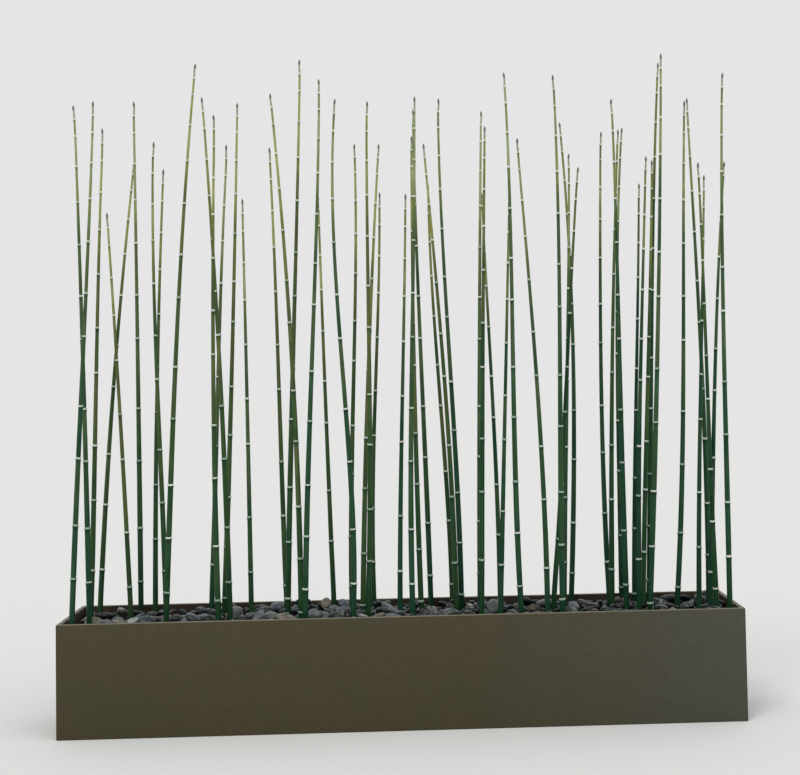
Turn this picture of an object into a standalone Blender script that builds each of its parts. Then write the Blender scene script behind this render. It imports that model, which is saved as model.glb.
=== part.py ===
"""An artificial potted horsetail: jointed reeds standing in a long trough of stones.

The origin is the middle of the trough's underside. X runs along the trough, Y across it with the
front at -Y, and Z is up. All sizes are in metres, apart from the planting plan, which is in
millimetres.
"""
import math
import random
from typing import NamedTuple

import bmesh
import bpy
from mathutils import Matrix, Vector

MM = 0.001

# Trough
TROUGH_LENGTH = 1.220
TROUGH_DEPTH = 0.200
TROUGH_HEIGHT = 0.200
TROUGH_WALL = 0.008
TROUGH_FLOOR = 0.010
TROUGH_EDGE = 0.0015

# Planting block, with a layer of stones set in its top
SEAT_GAP = 0.0003
BED_LEVEL = 0.178
STONE_LENGTH = (0.038, 0.056)
STONE_WIDTH = 0.72
STONE_THICKNESS = 0.48
STONE_PITCH = 0.050
STONE_ROWS = 4
STONE_STAGGER = 0.25
STONE_SINK = 0.003
STONE_TILT = math.radians(16)
STONE_SEED = 11

# Reeds
REED_SIDES = 6
REED_FOOT_LEVEL = 0.115
REED_CURVE_LEVEL = 0.193
REED_TOP_DIAMETER = 0.0036
REED_TAPER = 0.0082
REED_FOOT_DIAMETER = 0.0102
REED_DEPTH_BOW = 0.005
REED_NOD_RUN = 0.060
REED_SMOOTH_ANGLE = math.radians(65)
GOLDEN_ANGLE = math.radians(137.5)

# Joints of a reed, from the tip down: the usual run, which each reed stretches a little
JOINT_RUN = (0.027, 0.032, 0.057, 0.067, 0.080, 0.096, 0.080, 0.129, 0.096, 0.123, 0.098, 0.101)
JOINT_HEIGHT = 0.0036
JOINT_COLLAR = 1.13
JOINT_WAIST = 0.93
JOINT_SMALL_DIAMETER = 0.0066
JOINT_SMALL_COLLAR = 1.10

# Bud at the tip of a reed
BUD_NECK_BELOW_TIP = 0.0115
BUD_NECK_DIAMETER = 0.0029
BUD_BELLY_BELOW_TIP = 0.0060
BUD_BELLY_DIAMETER = 0.0044

# Colours and roughness of the finishes
TROUGH_BROWN = (0.075, 0.062, 0.036)
TROUGH_ROUGHNESS = 0.55
STONE_GREY = (0.11, 0.12, 0.13)
STONE_ROUGHNESS = 0.60
REED_GREEN = (0.035, 0.085, 0.035)
REED_ROUGHNESS = 0.50


class Reed(NamedTuple):
    """Where one reed stands, in millimetres.

    foot and tip are each a place along the trough and one across it, and height is the tip's height
    over the trough's underside. bow is how far the middle leans to the right of the straight line
    from foot to tip, and sway is how far the lower half then leans right, and the upper half left.
    nod is how far the neck leans right of that curve, and stretch is how much longer than the usual
    run the lengths between the joints are.
    """

    foot: tuple[int, int]
    tip: tuple[int, int]
    height: int
    bow: int = 0
    sway: int = 0
    nod: int = 0
    stretch: float = 1.0


# Planting plan: the clumps, from left to right
CLUMPS = (
    # Left end
    (
        Reed(foot=(-590, -65), tip=(-544, -75), height=1130, bow=1, sway=-1, nod=-1, stretch=0.965),
        Reed(foot=(-567, -30), tip=(-593, -15), height=1135, bow=2, nod=-2, stretch=0.985),
        Reed(foot=(-576, 20), tip=(-550, 30), height=1100, bow=-2, sway=1, nod=-2, stretch=1.045),
        Reed(foot=(-568, 60), tip=(-501, 75), height=1045, bow=-6, stretch=0.98),
        Reed(foot=(-507, 40), tip=(-543, 25), height=940, bow=1, stretch=1.05),
        Reed(foot=(-495, 75), tip=(-498, 55), height=1155, bow=1, stretch=1.025),
        Reed(foot=(-468, 75), tip=(-448, 85), height=1030, bow=-4, stretch=1.06),
        Reed(foot=(-440, 30), tip=(-459, 40), height=1075, bow=-6, sway=2, nod=1, stretch=1.02),
        Reed(foot=(-428, -40), tip=(-363, -60), height=1200, bow=-7, sway=1, stretch=0.97),
    ),
    # Left of the middle
    (
        Reed(foot=(-362, 70), tip=(-325, 80), height=1075, bow=-3, sway=1, nod=-2, stretch=1.015),
        Reed(foot=(-333, -50), tip=(-329, -65), height=1105, bow=-6, nod=-2, stretch=0.99),
        Reed(foot=(-335, 45), tip=(-299, 30), height=1145, bow=3, stretch=0.94),
        Reed(foot=(-316, -20), tip=(-360, -5), height=1150, bow=5, nod=-1, stretch=1.01),
        Reed(foot=(-282, 20), tip=(-293, 40), height=965, bow=1, stretch=1.05),
    ),
    (
        Reed(foot=(-218, 40), tip=(-243, 60), height=1065, bow=1, sway=-1, stretch=1.05),
        Reed(foot=(-211, -20), tip=(-178, 0), height=1220, bow=-1, sway=-1, nod=-1, stretch=1.01),
        Reed(foot=(-185, -45), tip=(-229, -55), height=1145, bow=11, stretch=0.955),
        Reed(foot=(-176, -70), tip=(-138, -80), height=1165, sway=-2, nod=-1, stretch=0.93),
        Reed(foot=(-133, 80), tip=(-153, 85), height=975, bow=-1, stretch=0.995),
    ),
    # Middle
    (
        Reed(foot=(-97, 45), tip=(-81, 60), height=1070, bow=1, sway=-3, stretch=0.945),
        Reed(foot=(-91, -55), tip=(-110, -75), height=1130, bow=-5, sway=8, stretch=0.99),
        Reed(foot=(-76, 20), tip=(-34, 35), height=1065, bow=-5, stretch=0.975),
        Reed(foot=(-65, -30), tip=(-54, -25), height=1135, bow=3, sway=2, nod=1, stretch=0.955),
        Reed(foot=(-57, 80), tip=(-35, 85), height=980, bow=-3, sway=-3, stretch=1.065),
    ),
    (
        Reed(foot=(-7, -10), tip=(15, 0), height=965, bow=-1, sway=-1, stretch=1.05),
        Reed(foot=(16, -50), tip=(34, -65), height=1135, bow=-3, sway=-2),
        Reed(foot=(32, 15), tip=(28, 10), height=1075, bow=-4, stretch=0.98),
        Reed(foot=(51, 75), tip=(32, 85), height=1140, bow=-2, sway=1, stretch=1.01),
        Reed(foot=(92, 80), tip=(59, 85), height=995, bow=-1, sway=3, stretch=0.975),
        Reed(foot=(97, 20), tip=(50, 5), height=1060, bow=8, sway=1, stretch=0.995),
        Reed(foot=(108, 45), tip=(80, 55), height=1155, bow=-1, sway=3, nod=1, stretch=0.955),
    ),
    # Right of the middle
    (
        Reed(foot=(143, 45), tip=(161, 30), height=1125, bow=-2, stretch=0.985),
        Reed(foot=(141, -40), tip=(162, -60), height=1080, bow=-1, stretch=1.005),
        Reed(foot=(182, 60), tip=(162, 75), height=975, bow=3, sway=1, stretch=0.985),
        Reed(foot=(177, -20), tip=(209, 0), height=950, stretch=1.015),
        Reed(foot=(212, -60), tip=(198, -75), height=1175, sway=-3, nod=-1, stretch=0.945),
    ),
    (
        Reed(foot=(262, -35), tip=(224, -15), height=1065, bow=8, sway=1, nod=1, stretch=1.01),
        Reed(foot=(277, 0), tip=(338, -10), height=1010, sway=1, nod=1, stretch=1.04),
        Reed(foot=(286, -65), tip=(288, -75), height=1170, bow=4, sway=-2, nod=-1, stretch=0.965),
        Reed(foot=(301, 40), tip=(329, 50), height=1045, bow=1, sway=-1, stretch=0.985),
        Reed(foot=(320, 85), tip=(315, 75), height=1110, bow=15, sway=-1, stretch=0.98),
    ),
    (
        Reed(foot=(388, 50), tip=(394, 70), height=1090, bow=-7, sway=-1, nod=1, stretch=0.93),
        Reed(foot=(390, 30), tip=(424, 45), height=1090, bow=-6, stretch=1.06),
        Reed(foot=(412, -5), tip=(402, -25), height=1135, bow=1, sway=-1, nod=-1, stretch=1.02),
        Reed(foot=(415, 75), tip=(438, 85), height=1100, bow=-8, sway=2),
        Reed(foot=(433, -20), tip=(462, -35), height=1025, bow=-5, sway=-1, stretch=0.945),
        Reed(foot=(439, 70), tip=(468, 80), height=990, sway=-1),
        Reed(foot=(448, -45), tip=(489, -65), height=1210, bow=4, stretch=1.02),
        Reed(foot=(450, 35), tip=(488, 45), height=1030, sway=-1, stretch=0.945),
        Reed(foot=(465, 60), tip=(510, 75), height=1225, bow=-3, sway=1, stretch=1.01),
    ),
    # Right end
    (
        Reed(foot=(509, 10), tip=(544, 0), height=1135, bow=4, sway=2, stretch=1.03),
        Reed(foot=(547, -5), tip=(580, 10), height=995, bow=-1, sway=-1, stretch=1.05),
        Reed(foot=(565, -20), tip=(604, -55), height=1010, bow=-5, sway=1, stretch=0.96),
        Reed(foot=(572, -40), tip=(556, -50), height=1010, bow=-1, sway=-1, stretch=0.995),
        Reed(foot=(573, 30), tip=(559, 50), height=1150, bow=7, sway=1, stretch=0.985),
        Reed(foot=(589, -70), tip=(598, -80), height=1170, bow=-5, sway=1, nod=1, stretch=0.995),
    ),
)


def clear_scene() -> None:
    """Removes whatever the scene holds."""
    for existing in list(bpy.data.objects):
        bpy.data.objects.remove(existing, do_unlink=True)


def make_material(name: str, colour: tuple[float, float, float], roughness: float) -> bpy.types.Material:
    """Returns a plain surface of one colour."""
    material = bpy.data.materials.new(name)
    material.use_nodes = True
    surface = material.node_tree.nodes["Principled BSDF"]
    surface.inputs["Base Color"].default_value = (*colour, 1.0)
    surface.inputs["Roughness"].default_value = roughness
    surface.inputs["Metallic"].default_value = 0.0
    return material


def add_object(name: str, bm: bmesh.types.BMesh, material: bpy.types.Material | None) -> bpy.types.Object:
    """Turns the shape into a named object of the scene, with its faces outward."""
    bmesh.ops.recalc_face_normals(bm, faces=bm.faces)
    mesh = bpy.data.meshes.new(name)
    bm.to_mesh(mesh)
    bm.free()
    shape = bpy.data.objects.new(name, mesh)
    if material is not None:
        mesh.materials.append(material)
    bpy.context.scene.collection.objects.link(shape)
    return shape


def add_box(bm: bmesh.types.BMesh, low: Vector, high: Vector) -> None:
    """Adds a box between two corners."""
    size = Matrix.Diagonal((*(high - low), 1.0))
    bmesh.ops.create_cube(bm, size=1.0, matrix=Matrix.Translation((low + high) / 2) @ size)


def apply_boolean(shape: bpy.types.Object, operation: str, cutters: list[bpy.types.Object]) -> None:
    """Applies one exact Boolean on a collection of cutters, then removes them."""
    group = bpy.data.collections.new("cutters")
    for cutter in cutters:
        group.objects.link(cutter)
    step = shape.modifiers.new("cut", "BOOLEAN")
    step.operation = operation
    step.solver = "EXACT"
    step.operand_type = "COLLECTION"
    step.collection = group
    result = bpy.data.meshes.new_from_object(shape.evaluated_get(bpy.context.evaluated_depsgraph_get()))
    shape.modifiers.clear()
    shape.data = result
    for cutter in cutters:
        bpy.data.objects.remove(cutter, do_unlink=True)
    bpy.data.collections.remove(group)


def build_trough(material: bpy.types.Material) -> bpy.types.Object:
    """Makes the long trough: plain upright walls, a flat floor and slightly eased edges."""
    bm = bmesh.new()
    add_box(
        bm,
        Vector((-TROUGH_LENGTH / 2, -TROUGH_DEPTH / 2, 0.0)),
        Vector((TROUGH_LENGTH / 2, TROUGH_DEPTH / 2, TROUGH_HEIGHT)),
    )
    top = [face for face in bm.faces if face.normal.z > 0.5]
    bmesh.ops.inset_region(bm, faces=top, thickness=TROUGH_WALL)
    hollow = bmesh.ops.extrude_face_region(bm, geom=top)
    sunk = [vertex for vertex in hollow["geom"] if isinstance(vertex, bmesh.types.BMVert)]
    bmesh.ops.delete(bm, geom=top, context="FACES_ONLY")
    bmesh.ops.translate(bm, verts=sunk, vec=(0.0, 0.0, TROUGH_FLOOR - TROUGH_HEIGHT))
    outer = [edge for edge in bm.edges if all(is_outer(vertex) for vertex in edge.verts)]
    bmesh.ops.bevel(bm, geom=outer, offset=TROUGH_EDGE, segments=2, profile=0.5, affect="EDGES")
    return add_object("trough", bm, material)


def is_outer(vertex: bmesh.types.BMVert) -> bool:
    """Says whether a corner lies on the trough's outer walls."""
    return abs(vertex.co.x) > TROUGH_LENGTH / 2 - TROUGH_WALL / 2


def stone_places() -> list[tuple[float, float]]:
    """Returns where the stones lie: staggered rows that fill the inside of the trough."""
    inner_length = TROUGH_LENGTH - 2 * TROUGH_WALL
    inner_depth = TROUGH_DEPTH - 2 * TROUGH_WALL
    row_pitch = inner_depth / STONE_ROWS
    per_row = round(inner_length / STONE_PITCH)
    places = []
    for row in range(STONE_ROWS):
        stagger = STONE_STAGGER if row % 2 else -STONE_STAGGER
        for step in range(per_row):
            along = ((step + 0.5 + stagger) / per_row - 0.5) * inner_length
            places.append((along, (row + 0.5) * row_pitch - inner_depth / 2))
    return places


def build_stones() -> list[bpy.types.Object]:
    """Makes the river stones of the top layer: flattened pebbles, each turned its own way."""
    dice = random.Random(STONE_SEED)
    stones = []
    for number, (along, across) in enumerate(stone_places()):
        length = dice.uniform(*STONE_LENGTH)
        size = Matrix.Diagonal((length, length * STONE_WIDTH, length * STONE_THICKNESS, 1.0))
        turn = Matrix.Rotation(dice.uniform(0.0, math.pi), 4, "Z")
        tilt = Matrix.Rotation(dice.uniform(-STONE_TILT, STONE_TILT), 4, "X")
        sink = dice.uniform(0.5, 1.5) * STONE_SINK
        place = Vector((along, across, BED_LEVEL - sink))
        bm = bmesh.new()
        bmesh.ops.create_icosphere(
            bm, subdivisions=1, radius=0.5, matrix=Matrix.Translation(place) @ turn @ tilt @ size
        )
        stones.append(add_object(f"stone_{number:03d}", bm, None))
    return stones


def build_bed(material: bpy.types.Material) -> bpy.types.Object:
    """Makes the block that fills the trough, stones set in its top and a socket for each reed."""
    half_length = TROUGH_LENGTH / 2 - TROUGH_WALL - SEAT_GAP
    half_depth = TROUGH_DEPTH / 2 - TROUGH_WALL - SEAT_GAP
    low = Vector((-half_length, -half_depth, TROUGH_FLOOR + SEAT_GAP))
    bm = bmesh.new()
    add_box(bm, low, Vector((half_length, half_depth, BED_LEVEL)))
    bed = add_object("stone_bed", bm, material)
    apply_boolean(bed, "UNION", build_stones())

    bm = bmesh.new()
    add_box(bm, low, Vector((half_length, half_depth, TROUGH_HEIGHT)))
    apply_boolean(bed, "INTERSECT", [add_object("bed_limits", bm, None)])

    bm = bmesh.new()
    radius = REED_FOOT_DIAMETER / 2 + SEAT_GAP / math.cos(math.pi / REED_SIDES)
    bottom = REED_FOOT_LEVEL - SEAT_GAP
    for reed in all_reeds():
        middle = Vector((reed.foot[0] * MM, reed.foot[1] * MM, (bottom + TROUGH_HEIGHT) / 2))
        bmesh.ops.create_cone(
            bm, cap_ends=True, segments=REED_SIDES, radius1=radius, radius2=radius,
            depth=TROUGH_HEIGHT - bottom, matrix=Matrix.Translation(middle),
        )
    apply_boolean(bed, "DIFFERENCE", [add_object("reed_sockets", bm, None)])
    return bed


def all_reeds() -> list[Reed]:
    """Returns the reeds of every clump, from left to right."""
    return [reed for clump in CLUMPS for reed in clump]


def reed_centre(reed: Reed, number: int, level: float) -> Vector:
    """Returns the middle of a reed at a level: upright in its socket, then along its own curve.

    The bulge is 1 half way up, and the swing is 1 and -1 at its two furthest places.
    """
    foot = Vector((*reed.foot, 0.0)) * MM
    tip = Vector((*reed.tip, 0.0)) * MM
    rise = max(0.0, (level - REED_CURVE_LEVEL) / (reed.height * MM - REED_CURVE_LEVEL))
    bulge = 4.0 * rise * (1.0 - rise)
    swing = 1.5 * math.sqrt(3.0) * bulge * (1.0 - 2.0 * rise)
    centre = foot.lerp(tip, rise)
    nodding = max(0.0, 1.0 - (reed.height * MM - level) / REED_NOD_RUN) ** 2
    centre.x += (reed.bow * bulge + reed.sway * swing + reed.nod * nodding) * MM
    centre.y += REED_DEPTH_BOW * bulge * math.cos(number * GOLDEN_ANGLE)
    centre.z = level
    return centre


def reed_diameter(below_tip: float) -> float:
    """Returns how thick a reed is between its joints, a distance below its tip."""
    return min(REED_FOOT_DIAMETER, REED_TOP_DIAMETER + REED_TAPER * below_tip)


def reed_sections(reed: Reed) -> list[tuple[float, float]]:
    """Returns a reed's levels and diameters, from its foot up to the neck and belly of its bud."""
    top = reed.height * MM
    sections = [
        (top - BUD_BELLY_BELOW_TIP, BUD_BELLY_DIAMETER),
        (top - BUD_NECK_BELOW_TIP, BUD_NECK_DIAMETER),
    ]
    level = top
    for internode in JOINT_RUN:
        level -= internode * reed.stretch
        if level < REED_CURVE_LEVEL + JOINT_HEIGHT:
            break
        diameter = reed_diameter(top - level)
        if diameter < JOINT_SMALL_DIAMETER:
            sections.append((level, diameter * JOINT_SMALL_COLLAR))
        else:
            sections.append((level + JOINT_HEIGHT / 2, diameter * JOINT_WAIST))
            sections.append((level - JOINT_HEIGHT / 2, diameter * JOINT_COLLAR))
    in_socket = reed_diameter(top - REED_CURVE_LEVEL)
    sections.append((REED_CURVE_LEVEL, in_socket))
    sections.append((REED_FOOT_LEVEL, in_socket))
    return sections[::-1]


def build_reed(reed: Reed, number: int, material: bpy.types.Material) -> bpy.types.Object:
    """Makes one reed: drawn up from its foot, section by section, to the point of its bud."""
    bm = bmesh.new()
    sections = reed_sections(reed)
    level, diameter = sections[0]
    centre = reed_centre(reed, number, level)
    bmesh.ops.create_circle(
        bm, cap_ends=True, segments=REED_SIDES, radius=diameter / 2, matrix=Matrix.Translation(centre)
    )
    bm.faces.ensure_lookup_table()
    cap = bm.faces[0]
    for step, (level, wanted) in enumerate(sections[1:]):
        moved = reed_centre(reed, number, level)
        drawn = bmesh.ops.extrude_face_region(bm, geom=[cap], use_keep_orig=step == 0)
        if step:
            bmesh.ops.delete(bm, geom=[cap], context="FACES_ONLY")
        cap = next(face for face in drawn["geom"] if isinstance(face, bmesh.types.BMFace))
        grow = wanted / diameter
        bmesh.ops.scale(bm, verts=cap.verts, vec=(grow, grow, 1.0), space=Matrix.Translation(-centre))
        bmesh.ops.translate(bm, verts=cap.verts, vec=moved - centre)
        centre, diameter = moved, wanted
    point = bmesh.ops.poke(bm, faces=[cap])["verts"][0]
    point.co = reed_centre(reed, number, reed.height * MM)
    shape = add_object(f"reed_{number:02d}", bm, material)
    shape.data.shade_smooth()
    shape.data.set_sharp_from_angle(angle=REED_SMOOTH_ANGLE)
    return shape


def main() -> None:
    """Builds the trough, its bed of stones and every reed."""
    clear_scene()
    build_trough(make_material("trough_finish", TROUGH_BROWN, TROUGH_ROUGHNESS))
    build_bed(make_material("stone_grey", STONE_GREY, STONE_ROUGHNESS))
    reed_finish = make_material("reed_green", REED_GREEN, REED_ROUGHNESS)
    for number, reed in enumerate(all_reeds(), start=1):
        build_reed(reed, number, reed_finish)


main()
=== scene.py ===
"""Looks of the artificial potted horsetail: a trough, its river stones and 56 jointed reeds.

Every size is in metres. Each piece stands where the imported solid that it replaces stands. The reeds'
centrelines and joints are read from their solids, so nothing here repeats the plan of the planting.
"""

import logging
import math
import random
from dataclasses import dataclass
from enum import Enum
from typing import Callable

import bmesh
import bpy
import numpy as np
from bpy.types import Material, Node, NodeSocket as Socket, NodeTree, Object
from mathutils import Matrix, Vector


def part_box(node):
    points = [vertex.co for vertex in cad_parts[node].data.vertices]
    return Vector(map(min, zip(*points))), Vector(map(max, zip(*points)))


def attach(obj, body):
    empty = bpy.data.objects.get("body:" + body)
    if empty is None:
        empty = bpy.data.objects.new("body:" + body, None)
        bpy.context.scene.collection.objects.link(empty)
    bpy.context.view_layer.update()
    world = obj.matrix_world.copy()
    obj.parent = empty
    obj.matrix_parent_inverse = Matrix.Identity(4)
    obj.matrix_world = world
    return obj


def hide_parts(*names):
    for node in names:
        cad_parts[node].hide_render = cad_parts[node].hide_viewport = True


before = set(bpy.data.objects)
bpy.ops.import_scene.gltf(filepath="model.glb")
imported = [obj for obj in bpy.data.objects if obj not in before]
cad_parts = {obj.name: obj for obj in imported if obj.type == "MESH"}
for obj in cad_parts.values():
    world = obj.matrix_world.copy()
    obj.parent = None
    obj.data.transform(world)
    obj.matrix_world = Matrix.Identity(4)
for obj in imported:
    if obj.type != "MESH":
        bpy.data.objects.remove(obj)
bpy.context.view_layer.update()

Colour = tuple[float, float, float]
Place = tuple[float, float, float]
Rule = Callable[[Vector], bool]
BODY = "root"
MM = 0.001
PHOTO_WIDTH = 800
PHOTO_HEIGHT = 775
# The clearance round what stands in the trough, as in the solids
SEAT_GAP = 0.3 * MM


def choose_only(shape: Object) -> None:
    """Selects one object and makes it the active one.

    Args:
        shape: the object.
    """
    bpy.ops.object.select_all(action="DESELECT")
    shape.select_set(True)
    bpy.context.view_layer.objects.active = shape


def start_edit(shape: Object) -> None:
    """Goes into edit mode on one object with all of it selected.

    Args:
        shape: the object.
    """
    choose_only(shape)
    bpy.ops.object.mode_set(mode="EDIT")
    bpy.ops.mesh.select_all(action="SELECT")


def end_edit() -> None:
    """Goes back to object mode."""
    bpy.ops.object.mode_set(mode="OBJECT")


def select_where(shape: Object, part: str, rule: Rule) -> None:
    """Selects the vertices, edges or faces of a shape in edit mode by their place.

    Args:
        shape: the object in edit mode.
        part: "VERT", "EDGE" or "FACE".
        rule: says whether a point counts. All the corners of an edge or face must count.
    """
    bpy.ops.mesh.select_mode(type=part)
    bpy.ops.mesh.select_all(action="DESELECT")
    bm = bmesh.from_edit_mesh(shape.data)
    for piece in {"VERT": bm.verts, "EDGE": bm.edges, "FACE": bm.faces}[part]:
        piece.select = all(rule(corner.co) for corner in ([piece] if part == "VERT" else piece.verts))
    bm.select_flush_mode()
    bmesh.update_edit_mesh(shape.data)


def modify(shape: Object, kind: str, **settings) -> None:
    """Adds a modifier to a shape and applies it.

    Args:
        shape: the object.
        kind: the modifier's type.
        settings: the modifier's own settings.
    """
    modifier = shape.modifiers.new(kind.lower(), kind)
    for setting, value in settings.items():
        setattr(modifier, setting, value)
    choose_only(shape)
    bpy.ops.object.modifier_apply(modifier=modifier.name)


def settle(shape: Object) -> None:
    """Puts a shape's place, turn and size into its mesh."""
    choose_only(shape)
    bpy.ops.object.transform_apply(location=True, rotation=True, scale=True)


def new_shape(add: Callable[..., set], **settings) -> Object:
    """Adds a primitive and puts its place and size into its mesh.

    Args:
        add: the operator that adds it.
        settings: the operator's settings.

    Returns:
        The new object, the only one that is selected.
    """
    bpy.ops.object.select_all(action="DESELECT")
    add(**settings)
    shape = bpy.context.active_object
    settle(shape)
    return shape


def new_box(name: str, low: Vector, high: Vector) -> Object:
    """Adds a named box.

    Args:
        name: its name.
        low: its lowest corner.
        high: its highest corner.

    Returns:
        The new box.
    """
    box = new_shape(
        bpy.ops.mesh.primitive_cube_add, size=1.0, location=(low + high) / 2, scale=high - low
    )
    box.name = box.data.name = name
    return box


def new_tube(sides: int, radius: float, foot: float, top: float, ends: str = "NOTHING") -> Object:
    """Adds an upright tube round the Z axis.

    Args:
        sides: how many sides it has.
        radius: its radius.
        foot: the level of its lower end.
        top: the level of its upper end.
        ends: how its ends are filled.

    Returns:
        The new tube.
    """
    return new_shape(
        bpy.ops.mesh.primitive_cylinder_add,
        vertices=sides,
        radius=radius,
        depth=top - foot,
        location=(0.0, 0.0, (foot + top) / 2),
        end_fill_type=ends,
    )


def cut_levels(levels: list[float]) -> None:
    """Cuts the shape in edit mode across.

    Args:
        levels: the levels of the cuts.
    """
    for level in levels:
        bpy.ops.mesh.select_all(action="SELECT")
        bpy.ops.mesh.bisect(plane_co=(0.0, 0.0, level), plane_no=(0.0, 0.0, 1.0))


def widen(shape: Object, rule: Rule, width: float) -> None:
    """Moves the vertices that a rule picks to width times their distance from the Z axis, in edit mode."""
    select_where(shape, "VERT", rule)
    bpy.ops.transform.resize(value=(width, width, 1.0), center_override=(0.0, 0.0, 0.0))


def near_level(level: float, near: float) -> Rule:
    """Returns a rule that picks the points nearer to a level than some distance."""
    return lambda corner: abs(corner.z - level) < near


def every_second(sides: int, shift: int = 0) -> Rule:
    """Returns a rule that picks every second corner of a tube with so many sides, moved on by some."""
    pitch = 2 * math.pi / sides
    return lambda corner: (round(math.atan2(corner.y, corner.x) / pitch) + shift) % 2 == 1


def both(first: Rule, second: Rule) -> Rule:
    """Returns a rule that picks the points that two rules pick."""
    return lambda corner: first(corner) and second(corner)


@dataclass(frozen=True)
class Pattern:
    """A shape that was modelled once, kept as points and faces for its copies."""

    points: np.ndarray
    faces: list[tuple[int, ...]]

    @classmethod
    def take(cls, shape: Object) -> "Pattern":
        """Reads a modelled object, then removes it from the scene.

        Args:
            shape: the finished pattern.

        Returns:
            The pattern's points and faces.
        """
        settle(shape)
        points = np.array([corner.co for corner in shape.data.vertices])
        faces = [tuple(face.vertices) for face in shape.data.polygons]
        bpy.data.objects.remove(shape, do_unlink=True)
        return cls(points, faces)

    def boxed(self) -> "Pattern":
        """Returns the pattern moved and sized to fill a box from -1 to 1."""
        low, high = self.points.min(axis=0), self.points.max(axis=0)
        return Pattern((self.points - (low + high) / 2) / ((high - low) / 2), self.faces)

    def face_middles(self) -> np.ndarray:
        """Returns the middle point of each face."""
        return np.array([self.points[list(face)].mean(axis=0) for face in self.faces])


class JoinedMesh:
    """Copies of patterns that are gathered into one piece."""

    def __init__(self) -> None:
        """Starts with nothing in it."""
        self.points: list[np.ndarray] = []
        self.faces: list[tuple[int, ...]] = []
        self.slots: list[int] = []
        self.count = 0

    def add(self, points: np.ndarray, faces: list[tuple[int, ...]], slots: list[int]) -> None:
        """Adds one copy.

        Args:
            points: where the copy's points go.
            faces: the pattern's faces.
            slots: the material slot of each face.
        """
        start = self.count
        self.points.append(points)
        self.faces.extend(tuple(start + corner for corner in face) for face in faces)
        self.slots.extend(slots)
        self.count += len(points)

    def finish(self, name: str, materials: list[Material], sharp: float) -> Object:
        """Makes the piece, with its seams merged and its faces smooth.

        Args:
            name: the piece's name.
            materials: its materials, in slot order.
            sharp: the angle in radians past which an edge stays sharp.

        Returns:
            The finished object, which rides on the body.
        """
        mesh = bpy.data.meshes.new(name)
        mesh.from_pydata(np.concatenate(self.points).tolist(), [], self.faces)
        for material in materials:
            mesh.materials.append(material)
        mesh.polygons.foreach_set("material_index", self.slots)
        piece = bpy.data.objects.new(name, mesh)
        bpy.context.scene.collection.objects.link(piece)
        start_edit(piece)
        bpy.ops.mesh.remove_doubles(threshold=0.005 * MM)
        bpy.ops.mesh.normals_make_consistent(inside=False)
        end_edit()
        bpy.ops.object.shade_smooth_by_angle(angle=sharp)
        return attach(piece, BODY)


class NodeSheet:
    """A node tree with short calls to add nodes and join them."""

    def __init__(self, tree: NodeTree) -> None:
        """Keeps the tree that the nodes go into."""
        self.tree = tree

    def add(self, kind: str, inputs: dict | None = None, **settings) -> Node:
        """Adds a node.

        Args:
            kind: the node's type.
            inputs: a value or another node's output for each input, by name or number.
            settings: the node's own settings.

        Returns:
            The new node.
        """
        node = self.tree.nodes.new(kind)
        for setting, value in settings.items():
            setattr(node, setting, value)
        for name, value in (inputs or {}).items():
            if isinstance(value, Socket):
                self.tree.links.new(value, node.inputs[name])
            else:
                node.inputs[name].default_value = value
        return node

    def reckon(self, operation: str, first: Socket, second: Socket | float, clamp: bool = False) -> Socket:
        """Works out a sum of two numbers, held between 0 and 1 where clamp says so."""
        node = self.add("ShaderNodeMath", {0: first, 1: second}, operation=operation, use_clamp=clamp)
        return node.outputs[0]

    def mix(self, mask: Socket, low: Socket | Colour, high: Socket | Colour) -> Socket:
        """Mixes two colours, or the outputs that give them, by a mask that gives the first one at 0."""
        low, high = (side if isinstance(side, Socket) else (*side, 1.0) for side in (low, high))
        return self.add("ShaderNodeMix", {0: mask, 6: low, 7: high}, data_type="RGBA").outputs[2]

    def group(self, tree: NodeTree, inputs: dict) -> Node:
        """Places a node group and sets its inputs, as add does."""
        return self.add("ShaderNodeGroup", inputs, node_tree=tree)


class GroupSheet(NodeSheet):
    """The node tree of a new node group, with the outputs that give its own inputs."""

    def __init__(self, name: str, values: dict[str, float]) -> None:
        """Makes the group, with a Vector input and some numbers.

        Args:
            name: the group's name.
            values: each number input with its usual value.
        """
        super().__init__(bpy.data.node_groups.new(name, "ShaderNodeTree"))
        self.tree.interface.new_socket("Vector", in_out="INPUT", socket_type="NodeSocketVector")
        for label, value in values.items():
            socket = self.tree.interface.new_socket(label, in_out="INPUT", socket_type="NodeSocketFloat")
            socket.default_value = value
        self.given = {socket.name: socket for socket in self.add("NodeGroupInput").outputs}

    def cloud(self, detail: float) -> Socket:
        """Returns the height of a noise of the group's own scale."""
        inputs = {"Vector": self.given["Vector"], "Scale": self.given["Scale"], "Detail": detail}
        return self.add("ShaderNodeTexNoise", inputs).outputs["Fac"]

    def close(self, **outputs: Socket) -> NodeTree:
        """Gives the group its outputs.

        Args:
            outputs: what feeds each output, by its name.

        Returns:
            The finished group.
        """
        for label in outputs:
            self.tree.interface.new_socket(label, in_out="OUTPUT", socket_type="NodeSocketFloat")
        self.add("NodeGroupOutput", outputs)
        return self.tree


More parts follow.
